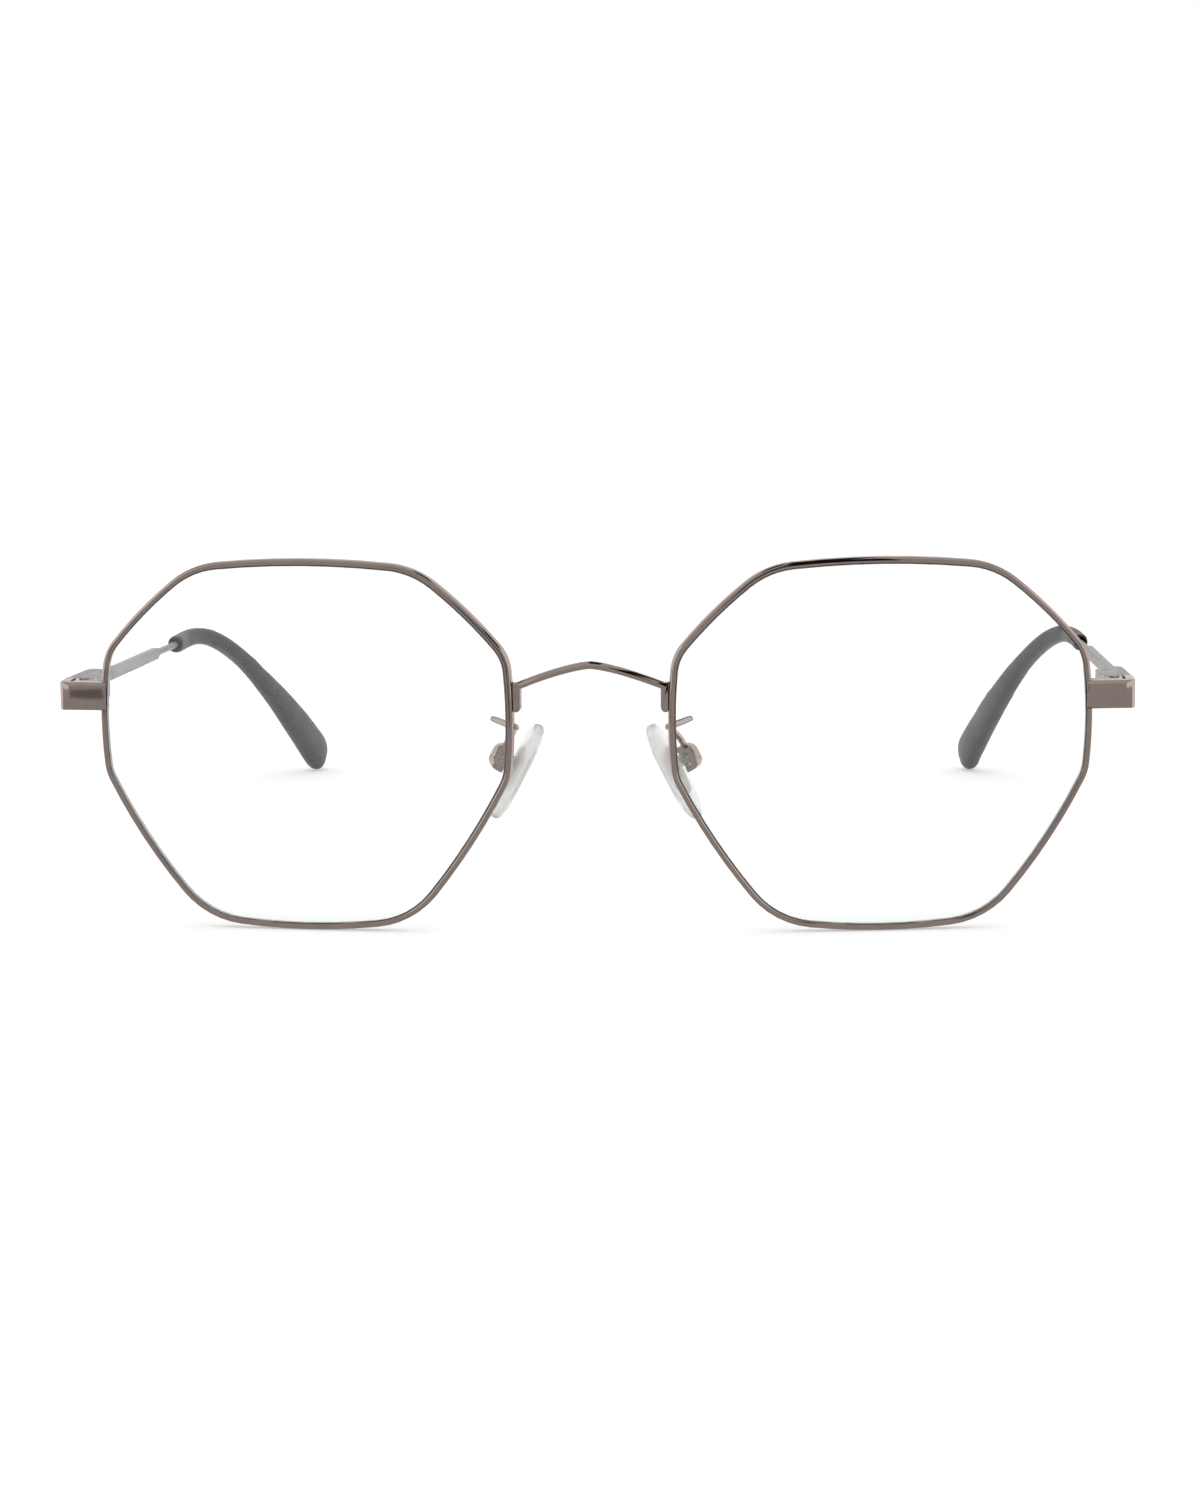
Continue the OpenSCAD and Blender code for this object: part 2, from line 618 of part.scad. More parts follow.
module temple() {
    butt = butt_gap / 2 + plate_h / 2 * tan(slope);
    head = [for (s = [butt, head_len]) shank_ring(s, plate_h / 2, square_power)];
    taper = [for (k = [1 : taper_steps]) let (t = k / taper_steps)
        shank_ring(head_len + head_taper * t, lerp(plate_h, strip_h, smooth(t)) / 2, square_power)];
    strip = [shank_ring(strip_len, strip_h / 2, square_power)];
    step = [for (t = [0.5, 1])
        shank_ring(strip_len + step_len * t, lerp(strip_h / 2, core_r, t * t), lerp(square_power, 1, t),
                   lerp(return_t / 2, core_r, t))];
    core = [for (k = [0 : core_steps]) let (t = core_share * k / core_steps)
        ring(bezier(tip_path, t), curve_dir(tip_path, t), core_r, core_r, 1, temple_sides)];
    color(light_metal) tube(concat(head, taper, strip, step, core));
}

// Temple tip: a curved sleeve with a blind bore that follows the core wire

bore_r = core_r + core_gap;
bore_end = 0.5;
bore_share = core_share + bore_end / end_speed;
mouth_share = 0.012;
mouth_flare = 0.25;
mouth_r = bore_r + mouth_flare;

function round_ring(t, r) = ring(bezier(tip_path, t), curve_dir(tip_path, t), r, r, 1, sleeve_sides);

module temple_tip() {
    bore_ts = [for (k = [core_steps : -1 : 1]) max(core_share * k / core_steps, mouth_share * 1.5)];
    bore = concat(
        [round_ring(bore_share, bore_r)],
        [for (t = bore_ts) round_ring(t, bore_r)],
        [round_ring(mouth_share, mouth_r), round_ring(0, mouth_r)]);
    color(sleeve_grey)
        pointed_tube(bezier(tip_path, bore_share), concat(bore, tip_rings), bezier(tip_path, 1));
}

// Nose pad frame: the screw's middle is its origin, its Z runs up along the pad and its X
// points away from the nose.

pin_at = [pin_x, pin_y, -pin_drop];
function pad_world(p) = pin_at + turn_z(turn_y(p, -pad_lean), -pad_turn);
module in_pad_frame() { translate(pin_at) rotate([0, 0, -pad_turn]) rotate([0, -pad_lean, 0]) children(); }

// Nose pad: a soft drop on a thin tab that the pad screw passes through

pad_steps = 12;
pad_sides = 20;
tab_r = 0.78;
function pad_share(t) = sqrt(1 - pow(abs(t), 2.5));
function pad_ring(t) =
    [for (k = [0 : pad_sides - 1]) let (a = 360 * k / pad_sides)
        pad_world([-pad_off - pad_t / 2 + pad_t / 2 * pad_share(t) * cos(a),
                   -pad_w / 2 * pad_share(t) * sin(a),
                   pad_len / 2 * t - pad_low])];

module nose_pad() {
    ts = [for (k = [1 : pad_steps - 1]) -cos(180 * k / pad_steps)];
    color(milky) difference() {
        union() {
            pointed_tube(pad_world([-pad_off - pad_t / 2, 0, -pad_len / 2 - pad_low]),
                         [for (t = ts) pad_ring(t)],
                         pad_world([-pad_off - pad_t / 2, 0, pad_len / 2 - pad_low]));
            in_pad_frame() translate([0, tab_t / 2, 0]) rotate([90, 0, 0]) linear_extrude(tab_t) {
                circle(r = tab_r, $fn = round_steps);
                translate([-pad_off - pad_t / 2, -tab_r]) square([pad_off + pad_t / 2, 2 * tab_r]);
            }
        }
        in_pad_frame() rotate([90, 0, 0])
            cylinder(h = 2 * tab_t, r = pin_r + pin_run, center = true, $fn = round_steps);
    }
}

// Pad box: a rounded box on the end of the arm, open towards the pad

box_lip = 0.35;
box_round = 1.25;
box_half_d = tab_t / 2 + tab_gap + box_wall;
slot_back = 0.15;
slot_end = 0.35;
slot_reach = tab_r + slot_back;
slot_half_h = tab_r + slot_end;
recess = box_wall / 2;
recess_rim = 0.4;
recess_r = pin_head_r + recess_rim;

module pad_box() {
    top = box_h / 2 - box_round;
    side = box_reach - box_round;
    rounded = concat([[-box_lip, -box_h / 2]],
                     arc(side, -top, box_round, -90, 0), arc(side, top, box_round, 0, 90),
                     [[-box_lip, box_h / 2]]);
    color(gunmetal) in_pad_frame() difference() {
        translate([0, box_half_d, 0]) rotate([90, 0, 0]) linear_extrude(2 * box_half_d) polygon(rounded);
        translate([-box_lip - 1, -tab_t / 2 - tab_gap, -slot_half_h])
            cube([box_lip + 1 + slot_reach, tab_t + 2 * tab_gap, 2 * slot_half_h]);
        rotate([90, 0, 0]) cylinder(h = 3 * box_half_d, r = pin_r + slack, center = true, $fn = round_steps);
        translate([0, -box_half_d + recess, 0]) rotate([90, 0, 0])
            cylinder(h = 1, r = recess_r, $fn = round_steps);
    }
}

module pad_screw() {
    color(light_metal) in_pad_frame() translate([0, -box_half_d + recess, 0]) rotate([90, 0, 0])
        slotted_screw(pin_r, 2 * box_half_d - recess, pin_head_r, recess + slack);
}

// Pad arm: a stub across the back of the rim, bent back and down to the pad box

arm_sides = 12;
stub_rise = 18;
stub_tilt = 22;
stub_share = nose_share(stub_h / cos(tilt));
stub_station = edge_station(nose_edge, stub_share);
rim_back = rim_point(stub_station, (rim_inner + rim_outer) / 2, rim_d / 2);
stub_dir = [-cos(stub_rise) * cos(stub_tilt), -sin(stub_tilt), -sin(stub_rise) * cos(stub_tilt)];
stub_reach = 3;
stub_pass = 0.1;
stub_mid = rim_back + [0, arm_r - braze, 0];
stub_start = stub_mid - stub_dir * stub_reach;
stub_end = stub_mid + stub_dir * stub_pass;
arm_side = box_reach * 0.35;
arm_end = pad_world([arm_side, 0, box_h / 2 - braze]);
arm_rise = 2.6;
arm_up = pad_world([arm_side, 0, box_h / 2 + arm_rise]);
stub_lead = 1;
arm_curve = [stub_end, stub_end + stub_dir * stub_lead, arm_up, arm_end];
arm_steps = 16;
function arm_ring(centre, dir, r = arm_r) =
    let (side = unit(cross(dir, [0.3, 1, 0])), up = cross(side, dir))
        [for (k = [0 : arm_sides - 1]) let (a = 360 * k / arm_sides)
            centre + (side * cos(a) + up * sin(a)) * r];

module pad_arm() {
    stub = [arm_ring(stub_start, stub_dir, arm_r * 0.6),
            arm_ring(stub_start + stub_dir * arm_r * 0.5, stub_dir)];
    bend = [for (k = [0 : arm_steps]) let (t = k / arm_steps)
        arm_ring(bezier(arm_curve, t), curve_dir(arm_curve, t))];
    color(gunmetal) tube(concat(stub, bend));
}

module rim_left() { left() rim(); }
module rim_right() { right() rim(); }
module lens_left() { left() lens(); }
module lens_right() { right() lens(); }
module endpiece_left() { left() endpiece(); }
module endpiece_right() { right() endpiece(); }
module lock_upper_left() { left() lock_upper(); }
module lock_upper_right() { right() lock_upper(); }
module lock_lower_left() { left() lock_lower(); }
module lock_lower_right() { right() lock_lower(); }
module lock_screw_left() { left() lock_screw(); }
module lock_screw_right() { right() lock_screw(); }
module hinge_front_left() { left() hinge_front(); }
module hinge_front_right() { right() hinge_front(); }
module hinge_screw_left() { left() hinge_screw(); }
module hinge_screw_right() { right() hinge_screw(); }
module hinge_leaf_left() { left() hinge_leaf(); }
module hinge_leaf_right() { right() hinge_leaf(); }
module temple_left() { left() temple(); }
module temple_right() { right() temple(); }
module temple_tip_left() { left() temple_tip(); }
module temple_tip_right() { right() temple_tip(); }
module pad_arm_left() { left() pad_arm(); }
module pad_arm_right() { right() pad_arm(); }
module pad_box_left() { left() pad_box(); }
module pad_box_right() { right() pad_box(); }
module pad_screw_left() { left() pad_screw(); }
module pad_screw_right() { right() pad_screw(); }
module nose_pad_left() { left() nose_pad(); }
module nose_pad_right() { right() nose_pad(); }

rim_left();
rim_right();
lens_left();
lens_right();
bridge();
endpiece_left();
endpiece_right();
lock_upper_left();
lock_upper_right();
lock_lower_left();
lock_lower_right();
lock_screw_left();
lock_screw_right();
hinge_front_left();
hinge_front_right();
hinge_screw_left();
hinge_screw_right();
hinge_leaf_left();
hinge_leaf_right();
temple_left();
temple_right();
temple_tip_left();
temple_tip_right();
pad_arm_left();
pad_arm_right();
pad_box_left();
pad_box_right();
pad_screw_left();
pad_screw_right();
nose_pad_left();
nose_pad_right();
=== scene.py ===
import json
import math

import bpy
from mathutils import Matrix, Vector

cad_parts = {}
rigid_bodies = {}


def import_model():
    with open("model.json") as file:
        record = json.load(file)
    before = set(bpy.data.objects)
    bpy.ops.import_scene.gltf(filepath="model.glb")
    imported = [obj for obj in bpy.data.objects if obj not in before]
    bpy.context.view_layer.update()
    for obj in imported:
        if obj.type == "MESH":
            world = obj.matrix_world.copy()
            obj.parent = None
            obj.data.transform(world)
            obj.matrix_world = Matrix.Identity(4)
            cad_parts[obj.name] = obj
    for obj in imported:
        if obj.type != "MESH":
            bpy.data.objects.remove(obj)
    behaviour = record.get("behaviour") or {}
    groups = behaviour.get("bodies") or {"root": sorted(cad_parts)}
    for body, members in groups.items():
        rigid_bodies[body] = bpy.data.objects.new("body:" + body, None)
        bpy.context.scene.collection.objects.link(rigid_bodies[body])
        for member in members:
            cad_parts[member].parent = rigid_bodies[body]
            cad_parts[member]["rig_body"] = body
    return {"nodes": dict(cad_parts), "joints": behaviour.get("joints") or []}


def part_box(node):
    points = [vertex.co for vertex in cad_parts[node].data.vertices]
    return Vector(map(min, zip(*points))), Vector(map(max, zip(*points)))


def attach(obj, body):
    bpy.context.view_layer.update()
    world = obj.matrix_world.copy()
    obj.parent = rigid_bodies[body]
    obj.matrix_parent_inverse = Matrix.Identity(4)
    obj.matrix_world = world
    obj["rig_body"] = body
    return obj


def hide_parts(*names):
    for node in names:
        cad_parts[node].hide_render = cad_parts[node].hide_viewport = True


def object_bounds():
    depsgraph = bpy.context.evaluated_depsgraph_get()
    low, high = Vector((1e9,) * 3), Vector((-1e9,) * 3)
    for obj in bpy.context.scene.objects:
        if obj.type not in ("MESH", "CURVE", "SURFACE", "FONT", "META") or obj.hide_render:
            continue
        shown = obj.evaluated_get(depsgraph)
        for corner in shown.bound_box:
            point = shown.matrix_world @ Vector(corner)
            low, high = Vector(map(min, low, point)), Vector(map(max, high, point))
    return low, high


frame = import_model()
cad_low, cad_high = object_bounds()

bl_info = {
    "name": "Octagonal wire eyeglasses",
    "version": (1, 0, 0),
    "blender": (4, 5, 0),
    "location": "3D View > Sidebar > Eyeglasses",
    "description": "Finishes the pieces of a pair of octagonal wire eyeglasses and sets up a white studio",
    "category": "Add Mesh",
}

MM = 0.001
SIDES = {"left": -1, "right": 1}
MERGE_DISTANCE = 0.0005 * MM
FLAT_ANGLE = math.radians(0.5)
SHARP_ANGLE = math.radians(32)
ROUND_ANGLE = math.radians(60)
QUARTER_TURN = math.radians(90)
PHOTO_HEIGHT = 1486
SENSOR = 36


# Settings that a user would change

class FinishSettings(bpy.types.PropertyGroup):
    """Colours and gloss of the materials"""

    rim_colour: bpy.props.FloatVectorProperty(
        name="Rim", description="Plating of the rims, bridge, endpieces and pad arms",
        subtype="COLOR", min=0, max=1, default=(0.50, 0.405, 0.365))
    temple_colour: bpy.props.FloatVectorProperty(
        name="Temple", description="Bare metal of the temples and hinge leaves",
        subtype="COLOR", min=0, max=1, default=(0.47, 0.468, 0.462))
    screw_colour: bpy.props.FloatVectorProperty(
        name="Screw", description="Metal of the screws",
        subtype="COLOR", min=0, max=1, default=(0.50, 0.47, 0.44))
    sleeve_colour: bpy.props.FloatVectorProperty(
        name="Sleeve", description="Plastic of the temple tips",
        subtype="COLOR", min=0, max=1, default=(0.013, 0.013, 0.012))
    pad_colour: bpy.props.FloatVectorProperty(
        name="Pad", description="Milky silicone of the nose pads",
        subtype="COLOR", min=0, max=1, default=(0.97, 0.97, 0.945))
    insert_colour: bpy.props.FloatVectorProperty(
        name="Insert", description="Hard insert inside a nose pad",
        subtype="COLOR", min=0, max=1, default=(0.86, 0.85, 0.79))
    lens_colour: bpy.props.FloatVectorProperty(
        name="Lens", description="Tint of the clear lenses",
        subtype="COLOR", min=0, max=1, default=(0.97, 0.99, 0.985))
    edge_colour: bpy.props.FloatVectorProperty(
        name="Lens edge", description="Frosted look of the lenses' ground edges",
        subtype="COLOR", min=0, max=1, default=(0.78, 0.80, 0.79))
    rim_gloss: bpy.props.FloatProperty(
        name="Rim roughness", description="Roughness of the plated metal",
        min=0, max=1, default=0.09)
    sleeve_gloss: bpy.props.FloatProperty(
        name="Sleeve roughness", description="Roughness of the temple tips",
        min=0, max=1, default=0.42)


class DetailSettings(bpy.types.PropertyGroup):
    """Sizes of the details that the finished pieces get"""

    rim_edge: bpy.props.FloatProperty(
        name="Rim edge", description="Rounding of the rim wires' long edges",
        unit="LENGTH", min=0, default=0.12 * MM)
    temple_edge: bpy.props.FloatProperty(
        name="Temple edge", description="Rounding of the temples' long edges",
        unit="LENGTH", min=0, default=0.08 * MM)
    plate_edge: bpy.props.FloatProperty(
        name="Plate edge", description="Rounding of the endpieces' and pad boxes' edges",
        unit="LENGTH", min=0, default=0.16 * MM)
    bridge_edge: bpy.props.FloatProperty(
        name="Bridge edge", description="Rounding of the bridge's feet",
        unit="LENGTH", min=0, default=0.14 * MM)
    hinge_edge: bpy.props.FloatProperty(
        name="Hinge edge", description="Rounding of the hinge and lock edges",
        unit="LENGTH", min=0, default=0.07 * MM)
    screw_edge: bpy.props.FloatProperty(
        name="Screw edge", description="Rounding of the screw heads",
        unit="LENGTH", min=0, default=0.05 * MM)
    pad_length: bpy.props.FloatProperty(
        name="Pad length", description="Length of a nose pad",
        unit="LENGTH", min=0, default=13 * MM)
    pad_width: bpy.props.FloatProperty(
        name="Pad width", description="Width of a nose pad",
        unit="LENGTH", min=0, default=7 * MM)
    pad_thickness: bpy.props.FloatProperty(
        name="Pad thickness", description="Thickness of a nose pad",
        unit="LENGTH", min=0, default=2.1 * MM)
    pad_lean: bpy.props.FloatProperty(
        name="Pad lean", description="Lean of a nose pad seen from the front",
        unit="ROTATION", default=math.radians(28))
    pad_turn: bpy.props.FloatProperty(
        name="Pad turn", description="Turn of a nose pad seen from above",
        unit="ROTATION", default=math.radians(13))
    pad_low: bpy.props.FloatProperty(
        name="Pad drop", description="Distance of a pad's middle below its screw",
        unit="LENGTH", default=0.8 * MM)
    pad_off: bpy.props.FloatProperty(
        name="Pad offset", description="Distance of a pad's back from its screw",
        unit="LENGTH", default=1.15 * MM)


class StageSettings(bpy.types.PropertyGroup):
    """Camera, lamp, floor and what the metal mirrors"""

    focal_pixels: bpy.props.FloatProperty(
        name="Focal length", description="Focal length in pixels of the photograph",
        min=1, default=3776)
    distance: bpy.props.FloatProperty(
        name="Distance", description="Distance from the camera to its target",
        unit="LENGTH", default=460 * MM)
    yaw: bpy.props.FloatProperty(
        name="Yaw", description="Turn of the camera towards the right side",
        unit="ROTATION", default=math.radians(3.07))
    elevation: bpy.props.FloatProperty(
        name="Elevation", description="Angle of the camera above the horizon",
        unit="ROTATION", default=math.radians(7.78))
    roll: bpy.props.FloatProperty(
        name="Roll", description="Roll of the camera about its own axis",
        unit="ROTATION", default=math.radians(-0.49))
    target_right: bpy.props.FloatProperty(
        name="Target to the right", description="Distance of the target to the right of the middle",
        unit="LENGTH", default=1.05 * MM)
    target_back: bpy.props.FloatProperty(
        name="Target behind the bridge", description="Distance of the target behind the bridge's front",
        unit="LENGTH", default=2.533 * MM)
    target_rise: bpy.props.FloatProperty(
        name="Target rise", description="Distance of the target above the middle of the rims",
        unit="LENGTH", default=0.43 * MM)
    world_light: bpy.props.FloatProperty(
        name="World light", description="Strength of the world on dull surfaces",
        min=0, default=0.8)
    lamp_power: bpy.props.FloatProperty(
        name="Lamp power", description="Power of the overhead lamp in watts",
        min=0, default=0.8)
    floor_lift: bpy.props.FloatProperty(
        name="Floor lift", description="Own brightness of the floor where it is seen",
        min=0, max=1, default=0.32)
    room_grey: bpy.props.FloatProperty(
        name="Room grey", description="Brightness of the room that the metal mirrors from the camera's side",
        min=0, max=1, default=0.42)
    ceiling_grey: bpy.props.FloatProperty(
        name="Ceiling grey", description="Brightness of the ceiling that the metal's upper edges mirror",
        min=0, max=1, default=0.55)
    floor_colour: bpy.props.FloatVectorProperty(
        name="Floor", description="Colour of the pale floor",
        subtype="COLOR", min=0, max=1, default=(0.9, 0.9, 0.9))


# Selecting and editing

def select_only(piece):
    for other in bpy.context.selected_objects:
        other.select_set(False)
    piece.select_set(True)
    bpy.context.view_layer.objects.active = piece


def deselect_everything():
    for other in bpy.context.selected_objects:
        other.select_set(False)
    bpy.context.view_layer.objects.active = None


def start_edit(piece):
    select_only(piece)
    bpy.ops.object.mode_set(mode="EDIT")
    bpy.ops.mesh.select_mode(type="VERT")
    bpy.ops.mesh.select_all(action="SELECT")


def end_edit():
    bpy.ops.object.mode_set(mode="OBJECT")


def apply_modifier(piece, kind, **settings):
    modifier = piece.modifiers.new(kind.title(), kind)
    for key, value in settings.items():
        setattr(modifier, key, value)
    select_only(piece)
    bpy.ops.object.modifier_apply(modifier=modifier.name)


def smooth_by_angle(piece, angle=SHARP_ANGLE):
    select_only(piece)
    bpy.ops.object.shade_smooth_by_angle(angle=angle)


def place_mesh(piece, matrix):
    """Moves the mesh to its place, so that the object stays at the origin, and turns its faces outwards."""
    piece.data.transform(piece.matrix_basis)
    piece.matrix_basis = Matrix.Identity(4)
    piece.data.transform(matrix)
    start_edit(piece)
    bpy.ops.mesh.remove_doubles(threshold=MERGE_DISTANCE)
    bpy.ops.mesh.normals_make_consistent(inside=False)
    end_edit()


# Finished copies of the solids

def merged_copy(node, name):
    """A copy of a solid whose loose triangles are merged."""
    piece = bpy.data.objects.new(name, frame["nodes"][node].data.copy())
    bpy.context.scene.collection.objects.link(piece)
    start_edit(piece)
    bpy.ops.mesh.customdata_custom_splitnormals_clear()
    bpy.ops.mesh.remove_doubles(threshold=MERGE_DISTANCE)
    end_edit()
    return piece


def drawn_copy(node, name, levels=2):
    """A copy of a drawn wire or moulded tube, with its rings made round and smooth."""
    piece = merged_copy(node, name)
    start_edit(piece)
    bpy.ops.mesh.tris_convert_to_quads(face_threshold=ROUND_ANGLE, shape_threshold=ROUND_ANGLE)
    end_edit()
    apply_modifier(piece, "SUBSURF", levels=levels, render_levels=levels)
    smooth_by_angle(piece, ROUND_ANGLE)
    return piece


def machined_copy(node, name, edge):
    """A copy of a cut or stamped piece, with its flats cleaned and its edges rounded."""
    piece = merged_copy(node, name)
    start_edit(piece)
    bpy.ops.mesh.dissolve_limited(angle_limit=FLAT_ANGLE)
    end_edit()
    apply_modifier(piece, "BEVEL", width=edge, segments=3, limit_method="ANGLE",
                   angle_limit=SHARP_ANGLE, use_clamp_overlap=True)
    smooth_by_angle(piece)
    return piece


def body_of(node):
    return frame["nodes"][node]["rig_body"]


def dress(piece, node, material):
    piece.data.materials.clear()
    piece.data.materials.append(material)
    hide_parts(node)
    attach(piece, body_of(node))


# Materials

PLATED_EDGE = (0.72, 0.70, 0.68)
BRUSHED_EDGE = (0.60, 0.60, 0.59)
NOISE_RANGE = (0.3, 0.7)
BRUSH_STRETCH = 0.03
COLOUR_A, COLOUR_B = 6, 7
MIXED_COLOUR = 2


def new_material(name, colour, roughness, **sockets):
    """A material and its shader, or no shader where the material was made before."""
    material = bpy.data.materials.get(name)
    if material:
        return material, None
    material = bpy.data.materials.new(name)
    material.use_nodes = True
    shader = material.node_tree.nodes["Principled BSDF"]
    shader.inputs["Base Color"].default_value = (*colour, 1)
    shader.inputs["Roughness"].default_value = roughness
    for socket, value in sockets.items():
        shader.inputs[socket.replace("_", " ")].default_value = value
    return material, shader


def add_noise(material, scale, detail=3, stretch=(1, 1, 1)):
    """A noise on the piece's own coordinates, with scale in cells per millimetre."""
    nodes = material.node_tree.nodes
    links = material.node_tree.links
    place = nodes.new("ShaderNodeTexCoord")
    mapping = nodes.new("ShaderNodeMapping")
    mapping.inputs["Scale"].default_value = stretch
    noise = nodes.new("ShaderNodeTexNoise")
    noise.inputs["Scale"].default_value = scale / MM
    noise.inputs["Detail"].default_value = detail
    links.new(place.outputs["Object"], mapping.inputs["Vector"])
    links.new(mapping.outputs["Vector"], noise.inputs["Vector"])
    return noise.outputs["Fac"]


def spread(material, fac, low, high):
    """Spreads a noise over a range of values."""
    node = material.node_tree.nodes.new("ShaderNodeMapRange")
    node.inputs["From Min"].default_value = NOISE_RANGE[0]
    node.inputs["From Max"].default_value = NOISE_RANGE[1]
    node.inputs["To Min"].default_value = low
    node.inputs["To Max"].default_value = high
    material.node_tree.links.new(fac, node.inputs["Value"])
    return node.outputs["Result"]


def tint(material, shader, fac, colour, share):
    """Varies the colour by a share up and down with a noise."""
    mix = material.node_tree.nodes.new("ShaderNodeMix")
    mix.data_type = "RGBA"
    mix.inputs[COLOUR_A].default_value = (*[v * (1 - share) for v in colour], 1)
    mix.inputs[COLOUR_B].default_value = (*[min(v * (1 + share), 1) for v in colour], 1)
    material.node_tree.links.new(fac, mix.inputs[0])
    material.node_tree.links.new(mix.outputs[MIXED_COLOUR], shader.inputs["Base Color"])


def raise_surface(material, shader, fac, height):
    """Bumps the surface by a noise, with the height in metres."""
    bump = material.node_tree.nodes.new("ShaderNodeBump")
    bump.inputs["Strength"].default_value = 1
    bump.inputs["Distance"].default_value = height
    material.node_tree.links.new(fac, bump.inputs["Height"])
    material.node_tree.links.new(bump.outputs["Normal"], shader.inputs["Normal"])


def plated_metal():
    finish = bpy.context.scene.eyeglasses_finish
    material, shader = new_material("plated_metal", finish.rim_colour, finish.rim_gloss, Metallic=1,
                                    Specular_Tint=(*PLATED_EDGE, 1))
    if shader:
        cloud = add_noise(material, 0.35)
        grain = add_noise(material, 9, detail=4)
        tint(material, shader, spread(material, cloud, 0, 1), finish.rim_colour, 0.05)
        rough = spread(material, cloud, finish.rim_gloss * 0.75, finish.rim_gloss * 1.3)
        material.node_tree.links.new(rough, shader.inputs["Roughness"])
        raise_surface(material, shader, grain, 0.0012 * MM)
    return material


def brushed_metal(name, colour, roughness, along):
    """Metal with fine lines along X, Y or Z."""
    material, shader = new_material(name, colour, roughness, Metallic=1, Specular_Tint=(*BRUSHED_EDGE, 1))
    if shader:
        stretch = [1, 1, 1]
        stretch[along] = BRUSH_STRETCH
        lines = add_noise(material, 14, detail=3, stretch=stretch)
        cloud = add_noise(material, 0.3)
        tint(material, shader, spread(material, cloud, 0, 1), colour, 0.04)
        rough = spread(material, lines, roughness * 0.75, roughness * 1.3)
        material.node_tree.links.new(rough, shader.inputs["Roughness"])
        raise_surface(material, shader, lines, 0.0015 * MM)
    return material


def temple_metal():
    finish = bpy.context.scene.eyeglasses_finish
    return brushed_metal("brushed_temple", finish.temple_colour, 0.3, along=1)


def screw_metal():
    finish = bpy.context.scene.eyeglasses_finish
    return brushed_metal("brushed_screw", finish.screw_colour, 0.22, along=0)


def sleeve_plastic():
    finish = bpy.context.scene.eyeglasses_finish
    material, shader = new_material("matt_sleeve", finish.sleeve_colour, finish.sleeve_gloss,
                                    Specular_IOR_Level=0.42)
    if shader:
        cloud = add_noise(material, 0.25)
        grain = add_noise(material, 0.8, detail=2)
        tint(material, shader, spread(material, cloud, 0, 1), finish.sleeve_colour, 0.12)
        rough = spread(material, cloud, finish.sleeve_gloss * 0.85, finish.sleeve_gloss * 1.15)
        material.node_tree.links.new(rough, shader.inputs["Roughness"])
        raise_surface(material, shader, grain, 0.0002 * MM)
    return material


def pad_silicone():
    finish = bpy.context.scene.eyeglasses_finish
    material, shader = new_material("milky_silicone", finish.pad_colour, 0.3, IOR=1.35,
                                    Transmission_Weight=0.85, Subsurface_Weight=0.5,
                                    Subsurface_Scale=2 * MM)
    if shader:
        cloud = add_noise(material, 0.6, detail=4)
        tint(material, shader, spread(material, cloud, 0, 1), finish.pad_colour, 0.06)
        raise_surface(material, shader, cloud, 0.02 * MM)
    return material


def pad_insert():
    finish = bpy.context.scene.eyeglasses_finish
    material, shader = new_material("pad_insert", finish.insert_colour, 0.4)
    if shader:
        cloud = add_noise(material, 1.2)
        tint(material, shader, spread(material, cloud, 0, 1), finish.insert_colour, 0.1)
    return material


def lens_glass():
    finish = bpy.context.scene.eyeglasses_finish
    material, shader = new_material("lens_glass", finish.lens_colour, 0, IOR=1.5, Transmission_Weight=1,
                                    Specular_IOR_Level=0.12)
    if shader:
        smear = add_noise(material, 0.04, detail=1)
        rough = spread(material, smear, 0, 0.012)
        material.node_tree.links.new(rough, shader.inputs["Roughness"])
    return material


def ground_edge():
    finish = bpy.context.scene.eyeglasses_finish
    material, shader = new_material("ground_edge", finish.edge_colour, 0.6)
    if shader:
        grain = add_noise(material, 6, detail=2)
        tint(material, shader, spread(material, grain, 0, 1), finish.edge_colour, 0.05)
        raise_surface(material, shader, grain, 0.003 * MM)
    return material


# Pieces

class PieceOperator:
    """Shared options of the operators that make pieces."""

    bl_options = {"REGISTER", "UNDO"}


class EYEGLASSES_OT_rims(PieceOperator, bpy.types.Operator):
    """Round the grooved rim wires"""

    bl_idname = "eyeglasses.rims"
    bl_label = "Rims"

    def execute(self, context):
        detail = context.scene.eyeglasses_detail
        for side in SIDES:
            node = f"rim_{side}"
            dress(machined_copy(node, f"rim_wire_{side}", detail.rim_edge), node, plated_metal())
        return {"FINISHED"}


# A lens face's normal has at least this much Y, and its ground edge's has less

FACE_TILT = 0.8


class EYEGLASSES_OT_lenses(PieceOperator, bpy.types.Operator):
    """Polish the clear lenses and frost their ground edges"""

    bl_idname = "eyeglasses.lenses"
    bl_label = "Lenses"

    def execute(self, context):
        for side in SIDES:
            node = f"lens_{side}"
            lens = merged_copy(node, f"clear_lens_{side}")
            lens.visible_shadow = False
            smooth_by_angle(lens)
            dress(lens, node, lens_glass())
            lens.data.materials.append(ground_edge())
            for polygon in lens.data.polygons:
                polygon.material_index = int(abs(polygon.normal.y) < FACE_TILT)
        return {"FINISHED"}


class EYEGLASSES_OT_bridge(PieceOperator, bpy.types.Operator):
    """Round the arched bridge and its brazed feet"""

    bl_idname = "eyeglasses.bridge"
    bl_label = "Bridge"

    def execute(self, context):
        detail = context.scene.eyeglasses_detail
        bridge = machined_copy("bridge", "bridge_wire", detail.bridge_edge)
        dress(bridge, "bridge", plated_metal())
        return {"FINISHED"}


